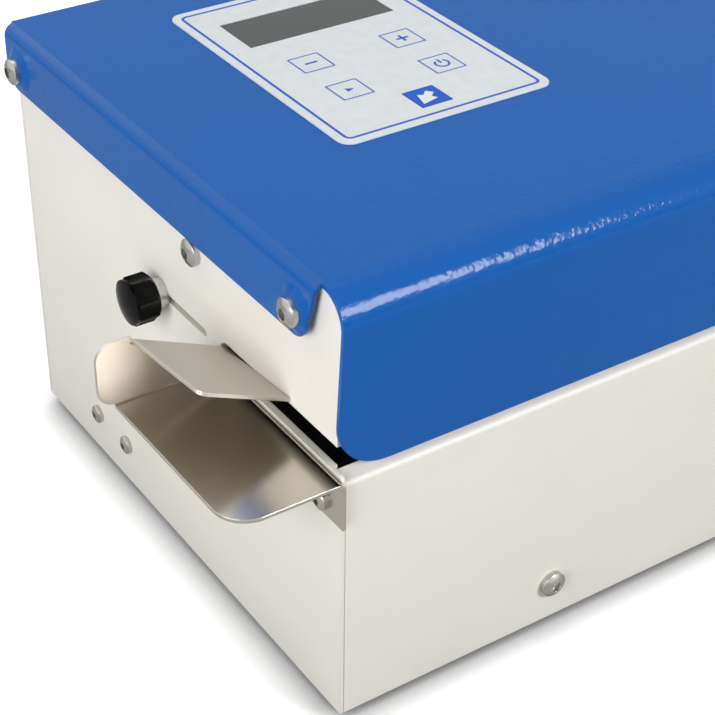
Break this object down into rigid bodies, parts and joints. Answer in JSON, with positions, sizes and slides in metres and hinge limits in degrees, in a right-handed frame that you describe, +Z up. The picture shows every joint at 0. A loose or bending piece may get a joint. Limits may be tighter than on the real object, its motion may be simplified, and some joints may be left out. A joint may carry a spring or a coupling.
{
  "type": "rotary heat sealer",
  "caption": "Bench heat sealer for pouches: blue hood over an off-white base, side throat with steel tray and sliding guide, clamp knob, top keypad, belt and roller drive inside.",
  "frame": {"origin": "under the middle of the overall box, on the plane that the feet stand on", "axes": "+X to the right along the base, from the inlet tray to the outlet end; +Y to the back; +Z up"},
  "size_m": [0.5528, 0.2233, 0.1656],
  "materials": {
    "hood_blue": "semi-gloss powder coat, deep blue, light orange peel",
    "body_white": "satin powder coat, off-white",
    "zinc_sheet": "zinc-plated sheet, dull",
    "stainless": "brushed stainless sheet",
    "screw_steel": "stainless pan heads, satin",
    "foot_rubber": "black moulded rubber, matt",
    "knob_black": "black moulded plastic, glossy",
    "overlay": "printed polyester film on a plate, fine matt",
    "key_white": "film key, fine matt",
    "key_blue": "film key printed blue, fine matt",
    "display_tint": "dark tinted window, polished",
    "display_glass": "liquid crystal module, polished",
    "board": "green circuit board, solder mask",
    "steel": "ground steel",
    "bronze": "sintered bronze, matt",
    "aluminium": "turned aluminium",
    "silicone": "red silicone rubber, matt",
    "belt": "coated glass-fibre belt, brown",
    "gear_nylon": "natural nylon",
    "motor_grey": "grey painted casing",
    "brass": "machined brass",
    "supply_case": "folded aluminium case",
    "black_plastic": "black thermoplastic"
  },
  "bodies": {
    "base": {"left_end_plate": "body_white", "right_end_plate": "body_white", "front_panel": "body_white", "rear_panel": "body_white", "bottom_plate": "zinc_sheet", "rubber_feet": "foot_rubber", "top_cover": "hood_blue", "cover_screws": "screw_steel", "chassis_screws": "screw_steel", "front_screws": "screw_steel", "side_screws": "screw_steel", "inlet_tray": "stainless", "tray_screws": "screw_steel", "keypad_overlay": "overlay", "display_window": "display_tint", "display_module": "display_glass", "control_board": "board", "board_spacers": "steel", "chassis_plate": "zinc_sheet", "shaft_bushes": "bronze", "idler_axles": "steel", "lower_belt": "belt", "upper_belt": "belt", "motor_plate": "zinc_sheet", "motor_standoffs": "steel", "gear_motor": "motor_grey", "upper_heater_bracket": "zinc_sheet", "heater_springs": "steel", "lower_heater_bracket": "zinc_sheet", "lower_heater_bar": "brass", "lower_cartridge": "steel", "lower_heater_posts": "steel", "power_supply": "supply_case", "power_inlet": "black_plastic", "power_switch": "black_plastic"},
    "motor_rotor": {"motor_pinion": "steel"},
    "lower_drive": {"lower_drive_shaft": "steel", "lower_drive_pulley": "aluminium", "lower_sealing_roller": "silicone", "lower_drive_gear": "gear_nylon"},
    "upper_drive": {"upper_drive_shaft": "steel", "upper_drive_pulley": "aluminium", "upper_sealing_roller": "silicone", "upper_drive_gear": "gear_nylon"},
    "lower_idler": {"lower_idler_pulley": "aluminium"},
    "upper_idler": {"upper_idler_pulley": "aluminium"},
    "guide": {"inlet_guide": "stainless", "guide_stud": "steel", "guide_collar": "steel"},
    "knob": {"guide_knob": "knob_black"},
    "function_button": {"function_key": "key_white"},
    "start_button": {"start_key": "key_blue"},
    "standby_button": {"standby_key": "key_white"},
    "minus_button": {"minus_key": "key_white"},
    "plus_button": {"plus_key": "key_white"},
    "rocker": {"power_rocker": "black_plastic"},
    "sprung_heater": {"upper_heater_bar": "brass", "upper_cartridge": "steel", "heater_pins": "steel"}
  },
  "joints": [
    {"name": "motor_turn", "type": "hinge", "parent": "base", "child": "motor_rotor", "pos_m": [0.16425, -0.1075, 0.08395], "axis": [0, 1, 0], "continuous": true},
    {"name": "lower_drive_turn", "type": "hinge", "parent": "base", "child": "lower_drive", "pos_m": [0.198, -0.1075, 0.08395], "axis": [0, 1, 0], "continuous": true},
    {"name": "upper_drive_turn", "type": "hinge", "parent": "base", "child": "upper_drive", "pos_m": [0.198, -0.1075, 0.12895], "axis": [0, 1, 0], "continuous": true},
    {"name": "lower_idler_turn", "type": "hinge", "parent": "base", "child": "lower_idler", "pos_m": [-0.162, -0.1075, 0.08395], "axis": [0, 1, 0], "continuous": true},
    {"name": "upper_idler_turn", "type": "hinge", "parent": "base", "child": "upper_idler", "pos_m": [-0.162, -0.1075, 0.12895], "axis": [0, 1, 0], "continuous": true},
    {"name": "guide_slide", "type": "slide", "parent": "base", "child": "guide", "axis": [0, -1, 0], "range_m": [0, 0.026]},
    {"name": "knob_turn", "type": "hinge", "parent": "guide", "child": "knob", "pos_m": [-0.232, 0.0029, 0.10765], "axis": [-1, 0, 0], "range_deg": [0, 270]},
    {"name": "function_press", "type": "slide", "parent": "base", "child": "function_button", "axis": [0, 0, -1], "range_m": [0, 0.0004], "stiffness_N_per_m": 300, "springref_m": -0.0008},
    {"name": "start_press", "type": "slide", "parent": "base", "child": "start_button", "axis": [0, 0, -1], "range_m": [0, 0.0004], "stiffness_N_per_m": 300, "springref_m": -0.0008},
    {"name": "standby_press", "type": "slide", "parent": "base", "child": "standby_button", "axis": [0, 0, -1], "range_m": [0, 0.0004], "stiffness_N_per_m": 300, "springref_m": -0.0008},
    {"name": "minus_press", "type": "slide", "parent": "base", "child": "minus_button", "axis": [0, 0, -1], "range_m": [0, 0.0004], "stiffness_N_per_m": 300, "springref_m": -0.0008},
    {"name": "plus_press", "type": "slide", "parent": "base", "child": "plus_button", "axis": [0, 0, -1], "range_m": [0, 0.0004], "stiffness_N_per_m": 300, "springref_m": -0.0008},
    {"name": "rocker_tilt", "type": "hinge", "parent": "base", "child": "rocker", "pos_m": [0.11, 0.1065, 0.046], "axis": [1, 0, 0], "range_deg": [0, 20]},
    {"name": "heater_float", "type": "slide", "parent": "base", "child": "sprung_heater", "axis": [0, 0, 1], "range_m": [0, 0.003], "stiffness_N_per_m": 1500, "springref_m": -0.002, "deforming": ["heater_springs"]}
  ],
  "couplings": [
    {"joint": "lower_drive_turn", "follows": "motor_turn", "ratio": -0.5},
    {"joint": "upper_drive_turn", "follows": "motor_turn", "ratio": 0.5},
    {"joint": "lower_idler_turn", "follows": "motor_turn", "ratio": -0.5},
    {"joint": "upper_idler_turn", "follows": "motor_turn", "ratio": 0.5}
  ]
}
